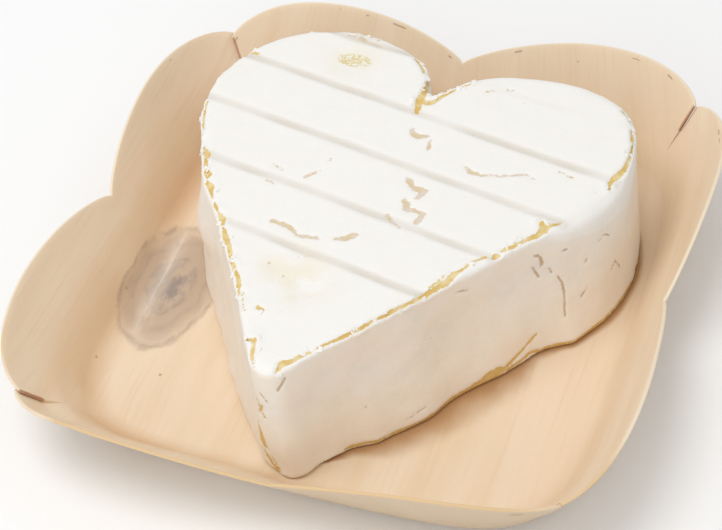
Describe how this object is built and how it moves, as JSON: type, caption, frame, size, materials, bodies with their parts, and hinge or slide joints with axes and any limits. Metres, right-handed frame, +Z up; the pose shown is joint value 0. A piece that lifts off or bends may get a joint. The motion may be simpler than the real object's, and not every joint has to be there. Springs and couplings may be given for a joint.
{
  "type": "heart-shaped cheese",
  "caption": "Heart-shaped soft white-rind cheese with faint rack marks on top, resting in a small square pressed-veneer tray with a scalloped, slit rim.",
  "frame": {"origin": "middle of the tray's flat underside, on the surface that it stands on", "axes": "+Z up; the heart's axis lies along +Y with its tip towards -Y; +X towards the heart's right lobe seen from above"},
  "size_m": [0.1462, 0.1462, 0.0335],
  "materials": {
    "rind": "matt, powdery white mould rind with ochre cracks along the edges",
    "poplar_veneer": "bare unvarnished poplar veneer, fine straight grain"
  },
  "bodies": {
    "root": {"cheese": "rind", "veneer_tray": "poplar_veneer"}
  },
  "joints": []
}
